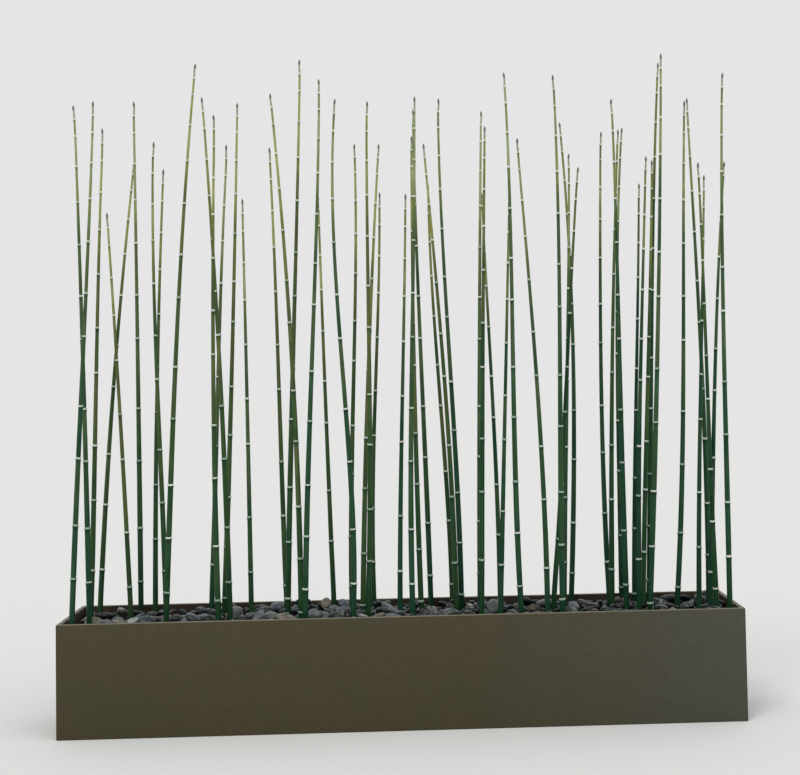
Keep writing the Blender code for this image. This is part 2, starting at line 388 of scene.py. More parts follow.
class MaterialSheet(NodeSheet):
    """The node tree of a new material, with its surface shader and the output of its Object coordinates."""

    def __init__(self, name: str) -> None:
        """Makes the material.

        Args:
            name: the material's name.
        """
        self.material = bpy.data.materials.new(name)
        self.material.use_nodes = True
        super().__init__(self.material.node_tree)
        self.surface = self.tree.nodes["Principled BSDF"]
        self.place = self.add("ShaderNodeTexCoord").outputs["Object"]

    def close(self, colour: Socket, roughness: float, gloss: float) -> Material:
        """Gives the surface its colour, roughness and gloss.

        Args:
            colour: the output with the colour.
            roughness: how rough the surface is.
            gloss: how strongly it mirrors.

        Returns:
            The finished material.
        """
        self.tree.links.new(colour, self.surface.inputs["Base Color"])
        self.surface.inputs["Roughness"].default_value = roughness
        self.surface.inputs["Specular IOR Level"].default_value = gloss
        return self.material

    def add_relief(self, height: Socket, depth: float) -> None:
        """Gives the surface a fine relief, from a height between 0 and 1 and its depth in metres."""
        bump = self.add("ShaderNodeBump", {"Height": height, "Distance": depth, "Strength": 1.0})
        self.tree.links.new(bump.outputs["Normal"], self.surface.inputs["Normal"])


class SurfaceEffects:
    """The node groups that several finishes share."""

    def __init__(self) -> None:
        """Builds each group once."""
        self.mottle = self.build_mottle()
        self.grain = self.build_grain()
        self.streaks = self.build_streaks()

    @staticmethod
    def build_mottle() -> NodeTree:
        """Builds soft patches: a mask of cloudy areas whose edges are as hard as Contrast says.

        Returns:
            The group.
        """
        sheet = GroupSheet("soft_patches", {"Scale": 10.0, "Contrast": 2.0})
        middle = sheet.reckon("SUBTRACT", sheet.cloud(detail=4.0), 0.5)
        steep = sheet.reckon("MULTIPLY", middle, sheet.given["Contrast"])
        return sheet.close(Mask=sheet.reckon("ADD", steep, 0.5, clamp=True))

    @staticmethod
    def build_grain() -> NodeTree:
        """Builds fine grain: a mask of specks and a height for a bump, both at one scale.

        Returns:
            The group.
        """
        sheet = GroupSheet("fine_grain", {"Scale": 600.0, "Share": 0.5})
        fine = sheet.cloud(detail=3.0)
        above = sheet.reckon("SUBTRACT", fine, sheet.given["Share"])
        return sheet.close(Specks=sheet.reckon("MULTIPLY", above, 8.0, clamp=True), Height=fine)

    @staticmethod
    def build_streaks() -> NodeTree:
        """Builds streaks that run up a stem: fine across it and long along it.

        Returns:
            The group.
        """
        sheet = GroupSheet("lengthwise_streaks", {"Across": 900.0, "Along": 20.0})
        parts = sheet.add("ShaderNodeSeparateXYZ", {0: sheet.given["Vector"]}).outputs
        rates = enumerate(("Across", "Across", "Along"))
        scaled = {axis: sheet.reckon("MULTIPLY", parts[axis], sheet.given[rate]) for axis, rate in rates}
        place = sheet.add("ShaderNodeCombineXYZ", scaled).outputs[0]
        fibre = sheet.add("ShaderNodeTexNoise", {"Vector": place, "Scale": 1.0, "Detail": 2.0}).outputs["Fac"]
        run = {"Value": fibre, "From Min": 0.35, "From Max": 0.65}
        return sheet.close(Mask=sheet.add("ShaderNodeMapRange", run, clamp=True).outputs[0], Height=fibre)


@dataclass(frozen=True)
class MouldedFinish:
    """The trough's matt moulded finish: cloudy patches of two tones with a fine stipple."""

    name: str
    tone: Colour
    patch: Colour
    fleck: Colour
    roughness: float = 0.58
    gloss: float = 0.30
    patch_scale: float = 9.0
    stipple_depth: float = 0.08 * MM
    # How much finer the small patches are, and what their tone is multiplied by
    small_scale: float = 14.0
    small_shade: float = 0.80
    # The greyer tone painted towards the right end as painted cool light, if there is one, and where along
    # the trough it comes in
    end_painted_cool_light: Colour | None = None
    end_run: tuple[float, float] = (0.12, 0.68)

    def shade(self, tone: Colour) -> Colour:
        """Returns the tone of the small patches on a tone."""
        return tuple(self.small_shade * value for value in tone)

    def make(self, effects: SurfaceEffects) -> Material:
        """Makes the material.

        Args:
            effects: the shared node groups.

        Returns:
            A new material of this finish.
        """
        sheet = MaterialSheet(self.name)
        broad = {"Vector": sheet.place, "Scale": self.patch_scale, "Contrast": 3.0}
        fine = {"Vector": sheet.place, "Scale": self.patch_scale * self.small_scale, "Contrast": 2.0}
        patches = sheet.group(effects.mottle, broad).outputs["Mask"]
        small = sheet.group(effects.mottle, fine).outputs["Mask"]
        grain = sheet.group(effects.grain, {"Vector": sheet.place, "Scale": 520.0, "Share": 0.60})
        mottled = sheet.mix(small, self.shade(self.tone), sheet.mix(patches, self.tone, self.patch))
        # Painted light: towards the right end the colour turns greyer and cooler, for the light that falls
        # there
        if self.end_painted_cool_light is not None:
            along = sheet.add("ShaderNodeSeparateXYZ", {0: sheet.place}).outputs["X"]
            run = {"Value": along, "From Min": self.end_run[0], "From Max": self.end_run[1]}
            end = sheet.mix(small, self.shade(self.end_painted_cool_light), self.end_painted_cool_light)
            mottled = sheet.mix(sheet.add("ShaderNodeMapRange", run).outputs[0], mottled, end)
        sheet.add_relief(grain.outputs["Height"], self.stipple_depth)
        colour = sheet.mix(grain.outputs["Specks"], mottled, self.fleck)
        return sheet.close(colour, self.roughness, self.gloss)


@dataclass(frozen=True)
class StoneFinish:
    """A river stone's finish: two cloudy tones, fine specks and a dull shine."""

    name: str
    tone: Colour
    patch: Colour
    speck: Colour
    roughness: float
    share: float
    gloss: float = 0.32
    grain_depth: float = 0.06 * MM

    def make(self, effects: SurfaceEffects) -> Material:
        """Makes the material.

        Args:
            effects: the shared node groups.

        Returns:
            A new material of this finish.
        """
        sheet = MaterialSheet(self.name)
        patches = sheet.group(effects.mottle, {"Vector": sheet.place, "Scale": 48.0, "Contrast": 5.0})
        grain = sheet.group(effects.grain, {"Vector": sheet.place, "Scale": 1100.0, "Share": 0.60})
        clouded = sheet.mix(patches.outputs["Mask"], self.tone, self.patch)
        sheet.add_relief(grain.outputs["Height"], self.grain_depth)
        colour = sheet.mix(grain.outputs["Specks"], clouded, self.speck)
        return sheet.close(colour, self.roughness, self.gloss)


@dataclass(frozen=True)
class StemFinish:
    """A reed's moulded finish: one tone, with darker and lighter streaks that run up the stem."""

    name: str
    tone: Colour
    streak: Colour
    roughness: float = 0.42
    ridge_depth: float = 0.08 * MM
    gloss: float = 0.12

    def make(self, effects: SurfaceEffects) -> Material:
        """Makes the material.

        Args:
            effects: the shared node groups.

        Returns:
            A new material of this finish.
        """
        sheet = MaterialSheet(self.name)
        streaks = sheet.group(effects.streaks, {"Vector": sheet.place, "Across": 700.0, "Along": 14.0})
        sheet.add_relief(streaks.outputs["Height"], self.ridge_depth)
        colour = sheet.mix(streaks.outputs["Mask"], self.tone, self.streak)
        return sheet.close(colour, self.roughness, self.gloss)


class StemTone(Enum):
    """What the stems pass through from the tip down: the length below the tip, the tone and its streaks."""

    BRIGHT = (-0.12, (0.217, 0.243, 0.099), (0.353, 0.397, 0.161))
    PALE = (0.04, (0.173, 0.196, 0.072), (0.283, 0.320, 0.118))
    LIME = (0.165, (0.170, 0.192, 0.057), (0.278, 0.312, 0.093))
    SPRING = (0.20, (0.107, 0.131, 0.041), (0.176, 0.214, 0.066))
    YELLOW = (0.235, (0.065, 0.089, 0.029), (0.109, 0.147, 0.047))
    OLIVE = (0.33, (0.040, 0.065, 0.024), (0.069, 0.112, 0.042))
    MOSS = (0.48, (0.031, 0.061, 0.021), (0.052, 0.104, 0.037))
    GREEN = (0.62, (0.017, 0.047, 0.016), (0.030, 0.079, 0.028))
    # The deep and dark tones are partly the stems' own dark green and partly painted shade among the lower
    # stems
    DEEP = (0.84, (0.011, 0.043, 0.018), (0.020, 0.073, 0.030))
    DARK = (1.00, (0.005, 0.028, 0.010), (0.008, 0.048, 0.018))


@dataclass(frozen=True)
class StemScale:
    """A row of stem finishes in even steps through the named tones, from the palest to the darkest."""

    name: str
    # What red, green and blue are multiplied by
    cast: Colour
    steps_between: int = 2

    def steps(self, below_tip: np.ndarray, lighter: np.ndarray) -> np.ndarray:
        """Returns the step that suits each length below the tip.

        Args:
            below_tip: how far below the tip each face is.
            lighter: how much lighter than usual it is, as the logarithm of the ratio.

        Returns:
            The number of a step for each face.
        """
        lengths = [tone.value[0] for tone in StemTone]
        greens = np.log([tone.value[1][1] for tone in StemTone])
        wanted = np.interp(below_tip, lengths, greens) + lighter
        marks = np.arange(len(lengths)) * self.steps_between
        return np.rint(np.interp(-wanted, -greens, marks)).astype(int)

    def make(self, effects: SurfaceEffects) -> list[Material]:
        """Makes the row of materials.

        Args:
            effects: the shared node groups.

        Returns:
            One material for each step.
        """
        logs = np.log([tone.value[1] + tone.value[2] for tone in StemTone])
        marks = np.arange(len(logs)) * self.steps_between
        materials = []
        for step in range(marks[-1] + 1):
            mixed = np.exp([np.interp(step, marks, column) for column in logs.T]) * (self.cast + self.cast)
            tone, streak = tuple(mixed[:3].tolist()), tuple(mixed[3:].tolist())
            materials.append(StemFinish(f"stem_{self.name}_{step:02d}", tone, streak).make(effects))
        return materials


class RingTone(Enum):
    """The tones of the rings at the joints."""

    PALE = StemFinish("ring_pale", (0.56, 0.59, 0.52), (0.68, 0.70, 0.64), 0.5, 0.04 * MM)
    GREY = StemFinish("ring_grey_green", (0.42, 0.47, 0.41), (0.53, 0.57, 0.50), 0.5, 0.04 * MM)
    DIM = StemFinish("ring_dim_green", (0.26, 0.34, 0.28), (0.35, 0.43, 0.36), 0.5, 0.04 * MM)


@dataclass
class Studio:
    """The pale floor, the soft light and the camera."""

    floor_size: float = 60.0
    floor_tone: Colour = (0.72, 0.72, 0.71)
    floor_shade: float = 0.985
    sky_tone: Colour = (0.78, 0.785, 0.78)
    sky_strength: float = 1.0
    lamp_distance: float = 4.0
    # The camera was worked out from the trough's corners in the photo. Its turns are in radians
    camera_place: Place = (0.01068, -2.52468, 0.63259)
    camera_yaw: float = 0.03930
    camera_pitch: float = 0.04343
    camera_roll: float = -0.01793
    focal_pixels: float = 1357.4
    optical_centre: tuple[float, float] = (458.33, 311.86)
    sensor_width: float = 36.0

    def build(self) -> None:
        """Makes the floor, the world, the lamps and the camera."""
        self.build_floor()
        self.build_world()
        self.add_lamp("key_lamp", (-0.50, -0.75, 1.00), spread=20.0, strength=0.90)
        self.add_lamp("fill_lamp", (0.70, -0.60, 0.80), spread=50.0, strength=0.50)
        self.build_camera()

    def build_floor(self) -> None:
        """Makes the pale floor under the trough."""
        floor = new_shape(bpy.ops.mesh.primitive_plane_add, size=self.floor_size)
        floor.name = "studio_floor"
        sheet = MaterialSheet("pale_floor")
        cloud = sheet.add("ShaderNodeTexNoise", {"Vector": sheet.place, "Scale": 60.0, "Detail": 2.0})
        low = tuple(self.floor_shade * value for value in self.floor_tone)
        colour = sheet.mix(cloud.outputs["Fac"], low, self.floor_tone)
        floor.data.materials.append(sheet.close(colour, roughness=0.9, gloss=0.1))

    def build_world(self) -> None:
        """Makes the even light that comes from all round."""
        world = bpy.data.worlds.new("soft_room")
        world.use_nodes = True
        backdrop = world.node_tree.nodes["Background"]
        backdrop.inputs["Color"].default_value = (*self.sky_tone, 1.0)
        backdrop.inputs["Strength"].default_value = self.sky_strength
        bpy.context.scene.world = world
        bpy.context.scene.view_settings.view_transform = "Standard"

    def add_lamp(self, name: str, side: Place, spread: float, strength: float) -> None:
        """Adds a soft lamp so far away that it lights the floor evenly.

        Args:
            name: the lamp's name.
            side: the direction that its light comes from.
            spread: how wide it looks from the object, in degrees.
            strength: its strength.
        """
        lamp = bpy.data.lights.new(name, "SUN")
        lamp.angle = math.radians(spread)
        lamp.energy = strength
        holder = bpy.data.objects.new(name, lamp)
        holder.location = Vector(side) * self.lamp_distance
        holder.rotation_euler = Vector(side).to_track_quat("Z", "Y").to_euler()
        bpy.context.scene.collection.objects.link(holder)

    def build_camera(self) -> None:
        """Makes the camera that sees the object as the photo does."""
        camera = bpy.data.cameras.new("photo_camera")
        camera.sensor_fit = "HORIZONTAL"
        camera.sensor_width = self.sensor_width
        camera.lens = self.focal_pixels * self.sensor_width / PHOTO_WIDTH
        camera.shift_x = (PHOTO_WIDTH / 2 - self.optical_centre[0]) / PHOTO_WIDTH
        camera.shift_y = (self.optical_centre[1] - PHOTO_HEIGHT / 2) / PHOTO_WIDTH
        yaw, pitch, roll = self.camera_yaw, self.camera_pitch, self.camera_roll
        ahead = Vector((math.sin(yaw) * math.cos(pitch), math.cos(yaw) * math.cos(pitch), math.sin(pitch)))
        level = Vector((math.cos(yaw), -math.sin(yaw), 0.0))
        upright = level.cross(ahead)
        right = math.cos(roll) * level + math.sin(roll) * upright
        above = math.cos(roll) * upright - math.sin(roll) * level
        turn = Matrix((right, above, -ahead)).transposed().to_4x4()
        holder = bpy.data.objects.new("photo_camera", camera)
        holder.matrix_world = Matrix.Translation(self.camera_place) @ turn
        bpy.context.scene.collection.objects.link(holder)
        bpy.context.scene.camera = holder


@dataclass
class Trough:
    """The long planter: upright walls with slightly eased edges, and a rim painted paler as a painted
    highlight.
    """

    effects: SurfaceEffects
    edge: float = 1.4 * MM
    edge_steps: int = 3
    floor_thickness: float = 10 * MM
    # The angle past which an edge stays sharp
    sharp: float = math.radians(35)
    # The rim's painted highlight, a paler colour on the faces that look up: how far down it reaches, against
    # the eased edge, and how much its faces look up
    highlight_reach: float = 1.2
    highlight_rise: float = 0.3
    outside: MouldedFinish = MouldedFinish(
        "trough_outside",
        (0.057, 0.042, 0.0165),
        (0.043, 0.043, 0.017),
        (0.070, 0.058, 0.030),
        # Painted light: the right end greyer and cooler
        end_painted_cool_light=(0.059, 0.062, 0.047),
    )
    # A painted highlight: the rim's paler colour stands in for the light on its upward faces
    rim: MouldedFinish = MouldedFinish(
        "trough_rim_painted_highlight", (0.175, 0.152, 0.112), (0.14, 0.122, 0.09), (0.22, 0.19, 0.15)
    )
    # The inside's darker brown is partly its own colour and partly painted shade of the hollow
    inside: MouldedFinish = MouldedFinish(
        "trough_inside_brown_and_painted_shade", (0.036, 0.024, 0.016), (0.048, 0.032, 0.021), (0.030, 0.021, 0.015), gloss=0.15
    )

    def build(self) -> Object:
        """Models the trough from one box.

        Returns:
            The finished trough.
        """
        low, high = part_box("trough")
        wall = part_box("stone_bed")[0].x - SEAT_GAP - low.x
        trough = new_box("planter_trough", low, high)
        start_edit(trough)
        select_where(trough, "FACE", lambda corner: corner.z > high.z - MM)
        bpy.ops.mesh.inset(thickness=wall, depth=0.0)
        sink = (0.0, 0.0, self.floor_thickness - (high.z - low.z))
        bpy.ops.mesh.extrude_region_move(TRANSFORM_OT_translate={"value": sink})
        bpy.ops.mesh.select_all(action="SELECT")
        bpy.ops.mesh.normals_make_consistent(inside=False)
        end_edit()
        modify(trough, "BEVEL", width=self.edge, segments=self.edge_steps, limit_method="ANGLE")
        bpy.ops.object.shade_smooth_by_angle(angle=self.sharp)
        self.dress(trough, low, high, wall)
        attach(trough, BODY)
        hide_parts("trough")
        return trough

    def dress(self, trough: Object, low: Vector, high: Vector, wall: float) -> None:
        """Gives the outside its finish, the rim a paler painted highlight and the inside a darker brown that
        is partly painted shade.

        Args:
            trough: the modelled trough.
            low: the lowest corner of its box.
            high: the highest corner of its box.
            wall: how thick its walls are.
        """
        for finish in (self.outside, self.rim, self.inside):
            trough.data.materials.append(finish.make(self.effects))
        for face in trough.data.polygons:
            middle = face.center
            depth_in = min(middle.x - low.x, high.x - middle.x, middle.y - low.y, high.y - middle.y)
            # The upward faces at the top get the rim's painted highlight
            if face.normal.z > self.highlight_rise and middle.z > high.z - self.highlight_reach * self.edge:
                face.material_index = 1
            # The faces within the walls get the inside's darker brown, partly painted shade
            elif depth_in > wall / 2 and middle.z > low.z + self.floor_thickness / 2:
                face.material_index = 2
            else:
                face.material_index = 0


@dataclass
class ReedLine:
    """The centreline, joints and thickness of one reed, read from its solid."""

    levels: np.ndarray
    centres: np.ndarray
    joints: np.ndarray
    neck_bend: tuple[float, float] = (0.0, 0.0)
    top_diameter: float = 3.6 * MM
    taper: float = 8.2 * MM
    foot_diameter: float = 10.2 * MM

    @classmethod
    def read(cls, name: str) -> "ReedLine":
        """Reads a reed's rings: its foot, where it starts to curve, its joints, neck, belly and tip.

        Args:
            name: the reed's node.

        Returns:
            The reed's line.
        """
        ring_gap = 1.0 * MM
        pair_gap = 6.0 * MM
        points = np.array([corner.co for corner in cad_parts[name].data.vertices])
        points = points[points[:, 2].argsort()]
        rings = np.split(points, np.flatnonzero(np.diff(points[:, 2]) > ring_gap) + 1)
        middles = np.array([(ring.min(axis=0) + ring.max(axis=0)) / 2 for ring in rings])
        foot, curve, jointed, tip = middles[0, 2], middles[1, 2], middles[2:-3, 2], middles[-1, 2]
        joints = [pair.mean() for pair in np.split(jointed, np.flatnonzero(np.diff(jointed) > pair_gap) + 1)]
        levels = np.array([foot, curve, *joints, tip])
        centres = np.stack([np.interp(levels, middles[:, 2], middles[:, axis]) for axis in (0, 1)], axis=1)
        return cls(levels, centres, np.array(joints))

    @property
    def foot(self) -> float:
        """Returns the level of the reed's lower end."""
        return float(self.levels[0])

    @property
    def tip(self) -> float:
        """Returns the level of the reed's tip."""
        return float(self.levels[-1])

    def centre(self, level: np.ndarray) -> np.ndarray:
        """Returns the middle of the stem at each level, on a smooth curve through its joints.

        Args:
            level: the heights above the ground.

        Returns:
            One point for each height.
        """
        slopes = np.gradient(self.centres, self.levels, axis=0)
        below = np.clip(np.searchsorted(self.levels, level) - 1, 0, len(self.levels) - 2)
        span = (self.levels[below + 1] - self.levels[below])[:, None]
        part = (level[:, None] - self.levels[below][:, None]) / span
        rest = 1.0 - part
        flat = (
            (1 + 2 * part) * rest**2 * self.centres[below]
            + part**2 * (3 - 2 * part) * self.centres[below + 1]
            + part * rest**2 * span * slopes[below]
            - part**2 * rest * span * slopes[below + 1]
        )
        # The neck's own bend: nothing at the last joint and at the tip, and all of it half way
        above = np.clip((level - self.joints[-1]) / (self.tip - self.joints[-1]), 0.0, 1.0)
        bulge = 16.0 * (above * (1.0 - above)) ** 2
        return np.column_stack([flat + bulge[:, None] * np.array(self.neck_bend), level])

    def radius(self, level: np.ndarray) -> np.ndarray:
        """Returns the plain stem's radius at each level."""
        return np.minimum(self.foot_diameter, self.top_diameter + self.taper * (self.tip - level)) / 2

    def place(self, across: np.ndarray, level: np.ndarray) -> np.ndarray:
        """Sets points round the stem, square to it.

        Args:
            across: each point's distance from the stem's middle, sideways and to the back.
            level: the height of each point's ring.

        Returns:
            The points in the frame.
        """
        step = 0.5 * MM
        along = self.centre(level + step) - self.centre(level - step)
        along /= np.linalg.norm(along, axis=1)[:, None]
        side = np.array([1.0, 0.0, 0.0]) - along * along[:, :1]
        side /= np.linalg.norm(side, axis=1)[:, None]
        back = np.cross(along, side)
        return self.centre(level) + side * across[:, :1] + back * across[:, 1:2]


# The first and last reed of each clump, from the left
CLUMPS = {
    "far_left": (1, 9),
    "left": (10, 14),
    "left_of_middle": (15, 19),
    "middle_left": (20, 24),
    "middle": (25, 31),
    "middle_right": (32, 36),
    "right_of_middle": (37, 41),
    "right": (42, 50),
    "far_right": (51, 56),
}


@dataclass
class Reeds:
    """The jointed reeds: stems with dark collars, pale joint rings and pointed buds."""

    effects: SurfaceEffects
    sides: int = 12
    ridge: float = 0.975
    # The lengths above a joint and below the next one that don't stretch with the rest
    foot_run: float = 6.0 * MM
    collar_run: float = 9.0 * MM
    ring_height: float = 3.3 * MM
    ring_heights: tuple[float, float] = (0.85, 1.12)
    ring_width: float = 1.17
    ring_wall: float = 0.35
    ring_ease: float = 0.09
    ring_tilt: float = 0.08
    neck_bend: float = 0.8 * MM
    # The angles past which an edge stays sharp
    stem_sharp: float = math.radians(50)
    bud_sharp: float = math.radians(70)
    bud_sides: int = 12
    bud_length: float = 11.0 * MM
    # The bud's scales: from where to where they reach, in millimetres below the tip, and how far they dip
    scale_reach: tuple[float, float] = (1.0, 10.0)
    scale_dip: float = 0.88
    seed: int = 143859
    neck: StemFinish = StemFinish("bud_neck", (0.212, 0.232, 0.150), (0.345, 0.365, 0.250))
    bud: StemFinish = StemFinish("bud_brown", (0.104, 0.101, 0.084), (0.198, 0.194, 0.164), 0.5)
    scales: tuple[StemScale, ...] = (
        StemScale("warm", (1.07, 1.0, 0.90)),
        StemScale("cool", (0.91, 1.0, 1.12)),
    )
    # Where along a length of stem its collar darkens, and how much of the shade is reached there
    collar_rise: tuple = ((0.75, 0.80, 0.88), (0.0, 0.35, 1.0))
    # How much darker a collar is than its stem, and how far a reed, a length and half a length stray from
    # the usual tone, as logarithms
    collar_shade: float = 0.42
    reed_spread: float = 0.20
    length_spread: float = 0.10
    half_spread: float = 0.10
    # Where the tones come to stray less, by the length below the tip, and the share that is left
    calm_run: tuple[float, float] = (0.45, 0.85)
    calm_share: float = 0.4
    # Painted light and shade: from the left end to the right the warm cast grows rarer and the stems darker,
    # by this much a metre, as the light there falls cooler and dimmer
    painted_cool_light_drift: float = 0.45
    painted_shade_drift: float = 0.35
    # The share of each ring's tone, by the length below the tip up to which a row counts
    ring_rows: tuple = (
        (0.20, {RingTone.PALE: 6, RingTone.GREY: 1}),
        (0.55, {RingTone.PALE: 2, RingTone.GREY: 4, RingTone.DIM: 1}),
        (2.00, {RingTone.PALE: 1, RingTone.GREY: 3, RingTone.DIM: 4}),
    )

    def build(self) -> list[Object]:
        """Makes the stems, the joint rings and the buds of each clump.

        Returns:
            The finished pieces.
        """
        self.dice = random.Random(self.seed)
        self.stem_materials = [material for scale in self.scales for material in scale.make(self.effects)]
        self.ring_materials = [tone.value.make(self.effects) for tone in RingTone]
        self.bud_materials = [self.neck.make(self.effects), self.bud.make(self.effects)]
        self.internode = self.model_internode()
        self.band = self.model_ring()
        self.tip = self.model_bud()
        pieces = []
        for clump, (first, last) in CLUMPS.items():
            names = [f"reed_{number:02d}" for number in range(first, last + 1)]
            pieces.extend(self.build_clump(clump, names))
        return pieces

    def model_internode(self) -> Pattern:
        """Models the stem between two joints: ridged, narrow at its foot and flared at its collar.

        Returns:
            The pattern, with a radius of 1 and a length of 1.
        """
        # Each level with the stem's width there
        profile = (
            (0.0, 0.90), (0.25, 0.99), (0.375, 1.0), (0.5, 1.0), (0.625, 1.0),
            (0.75, 1.0), (0.86, 1.03), (0.92, 1.10), (1.0, 1.12),
        )
        stem = new_tube(self.sides, 1.0, 0.0, 1.0)
        start_edit(stem)
        cut_levels([level for level, _ in profile[1:-1]])
        for level, width in profile:
            widen(stem, near_level(level, near=0.01), width)
        widen(stem, every_second(self.sides), self.ridge)
        end_edit()
        return Pattern.take(stem)

    def model_ring(self) -> Pattern:
        """Models the pale band at a joint, closed and with its outer edges eased.

        Returns:
            The pattern, for a stem radius of 1 and a height of 1.
        """
        band = new_tube(self.sides, self.ring_width, -0.5, 0.5)
        modify(band, "SOLIDIFY", thickness=self.ring_wall, offset=-1.0)
        start_edit(band)
        bpy.ops.mesh.normals_make_consistent(inside=False)
        # Of the outside's edges, only those that run round it are eased
        outside, flat = self.ring_width * 0.98, 0.1
        select_where(band, "EDGE", lambda corner: corner.xy.length > outside)
        bm = bmesh.from_edit_mesh(band.data)
        for edge in bm.edges:
            edge.select = edge.select and abs(edge.verts[0].co.z - edge.verts[1].co.z) < flat
        bm.select_flush_mode()
        bmesh.update_edit_mesh(band.data)
        bpy.ops.mesh.bevel(offset=self.ring_ease, segments=1, affect="EDGES")
        end_edit()
        return Pattern.take(band)

    def model_bud(self) -> Pattern:
        """Models the neck and the pointed bud above the last joint, with the bud's scales as small bumps.

        Returns:
            The pattern, in metres, with its tip at 0 and its foot below.
        """
        # Each length below the tip with the radius there, in millimetres
        profile = (
            (27.0, 1.92), (24.0, 1.76), (16.0, 1.64), (11.8, 1.58), (10.4, 1.78), (8.6, 2.02),
            (6.8, 2.14), (5.0, 2.02), (3.4, 1.66), (2.0, 1.12), (0.8, 0.55), (0.0, 0.12),
        )
        least, most = self.scale_reach
        bud = new_tube(self.bud_sides, MM, -profile[0][0] * MM, 0.0, ends="TRIFAN")
        start_edit(bud)
        cut_levels([-below * MM for below, _ in profile[1:-1]])
        for row, (below, radius) in enumerate(profile):
            ring = near_level(-below * MM, near=0.1 * MM)
            widen(bud, ring, radius)
            if least < below < most:
                widen(bud, both(ring, every_second(self.bud_sides, row)), self.scale_dip)
        end_edit()
        return Pattern.take(bud)

    def add_stem(self, joined: JoinedMesh, line: ReedLine) -> None:
        """Adds a reed's stem, one length between two joints after another.

        Args:
            joined: the clump's stems.
            line: the reed's line.
        """
        pattern = self.internode
        # The pattern's ends, and the levels between which it stretches
        stations = (0.0, 0.25, 0.75, 1.0)
        middles = pattern.face_middles()[:, 2]
        along = line.centres[0, 0]
        # Painted light and shade: towards the right end a reed takes the cool cast more often and a darker
        # tone
        row = int(self.dice.random() > 0.5 - self.painted_cool_light_drift * along)
        first = row * len(self.stem_materials) // len(self.scales)
        own = self.dice.gauss(-self.painted_shade_drift * along, self.reed_spread)
        collar = self.collar_shade * np.interp(middles, *self.collar_rise)
        ends = [line.foot, *line.joints]
        for low, high in zip(ends, ends[1:]):
            length = high - low
            marks = (0.0, self.foot_run, length - self.collar_run, length)
            level = low + np.interp(pattern.points[:, 2], stations, marks)
            points = line.place(pattern.points[:, :2] * line.radius(level)[:, None], level)
            below_tip = line.tip - low - np.interp(middles, stations, marks)
            stray = own + self.dice.gauss(0.0, self.length_spread)
            halves = [stray + self.dice.gauss(0.0, self.half_spread) for _ in range(2)]
            calm = np.interp(below_tip, self.calm_run, (1.0, self.calm_share))
            lighter = np.interp(middles, stations[1:3], halves) * calm - collar
            slots = first + self.scales[row].steps(below_tip, lighter)
            joined.add(points, pattern.faces, slots.tolist())

    def add_ring(self, joined: JoinedMesh, line: ReedLine, joint: float) -> None:
        """Adds the pale ring at one joint.

        Args:
            joined: the clump's rings.
            line: the reed's line.
            joint: the joint's level.
        """
        pattern = self.band
        height = self.ring_height * self.dice.uniform(*self.ring_heights)
        lean = self.dice.uniform(-self.ring_tilt, self.ring_tilt)
        radius = float(line.radius(np.array([joint]))[0])
        across = pattern.points[:, :2] * radius
        level = joint + pattern.points[:, 2] * height + across[:, 0] * lean
        shares = next(shares for limit, shares in self.ring_rows if line.tip - joint < limit)
        tone = self.dice.choices(list(shares), weights=list(shares.values()))[0]
        slots = [list(RingTone).index(tone)] * len(pattern.faces)
        joined.add(line.place(across, level), pattern.faces, slots)

    def add_bud(self, joined: JoinedMesh, line: ReedLine) -> None:
        """Adds the neck and bud at a reed's tip.

        Args:
            joined: the clump's buds.
            line: the reed's line.
        """
        pattern = self.tip
        length = line.tip - line.joints[-1]
        stretch = length / -pattern.points[:, 2].min()
        level = line.tip + pattern.points[:, 2] * stretch
        points = line.place(pattern.points[:, :2], np.minimum(level, line.tip))
        middles = pattern.face_middles()[:, 2]
        joined.add(points, pattern.faces, [int(middle >= -self.bud_length) for middle in middles])

    def build_clump(self, clump: str, names: list[str]) -> list[Object]:
        """Makes the three pieces of one clump.

        Args:
            clump: its name.
            names: the nodes of the reeds that go into the pieces.

        Returns:
            The stems, the rings and the buds.
        """
        stems, rings, buds = JoinedMesh(), JoinedMesh(), JoinedMesh()
        for name in names:
            line = ReedLine.read(name)
            line.neck_bend = tuple(self.dice.uniform(-self.neck_bend, self.neck_bend) for _ in range(2))
            self.add_stem(stems, line)
            for joint in line.joints:
                self.add_ring(rings, line, joint)
            self.add_bud(buds, line)
        pieces = [
            stems.finish(f"reed_stems_{clump}", self.stem_materials, self.stem_sharp),
            rings.finish(f"joint_rings_{clump}", self.ring_materials, self.stem_sharp),
            buds.finish(f"reed_buds_{clump}", self.bud_materials, self.bud_sharp),
        ]
        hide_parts(*names)
        return pieces


@dataclass
class Stone:
    """One stone: its half sizes, turn and place, and then its shape, level and slope."""

    half: tuple[float, float, float]
    turn: float
    place: tuple[float, float]
    shape: int = 0
    level: float = 0.0
    slope: tuple[float, float] = (0.0, 0.0)

    def turned(self, ahead: np.ndarray, aside: np.ndarray) -> tuple[np.ndarray, np.ndarray]:
        """Turns distances along and across the trough to distances along and across the stone."""
        cos, sin = math.cos(self.turn), math.sin(self.turn)
        return ahead * cos + aside * sin, aside * cos - ahead * sin

    def lay(self, pattern: Pattern) -> np.ndarray:
        """Puts a copy of a pattern in the stone's place.

        Args:
            pattern: the stone's shape.

        Returns:
            The copy's points.
        """
        turned = pattern.points * np.array(self.half) @ np.array(Matrix.Rotation(self.turn, 3, "Z")).T
        upward = Vector((-self.slope[0], -self.slope[1], 1.0)).normalized()
        tilt = np.array(Vector((0.0, 0.0, 1.0)).rotation_difference(upward).to_matrix())
        return turned @ tilt.T + np.array((*self.place, self.level))


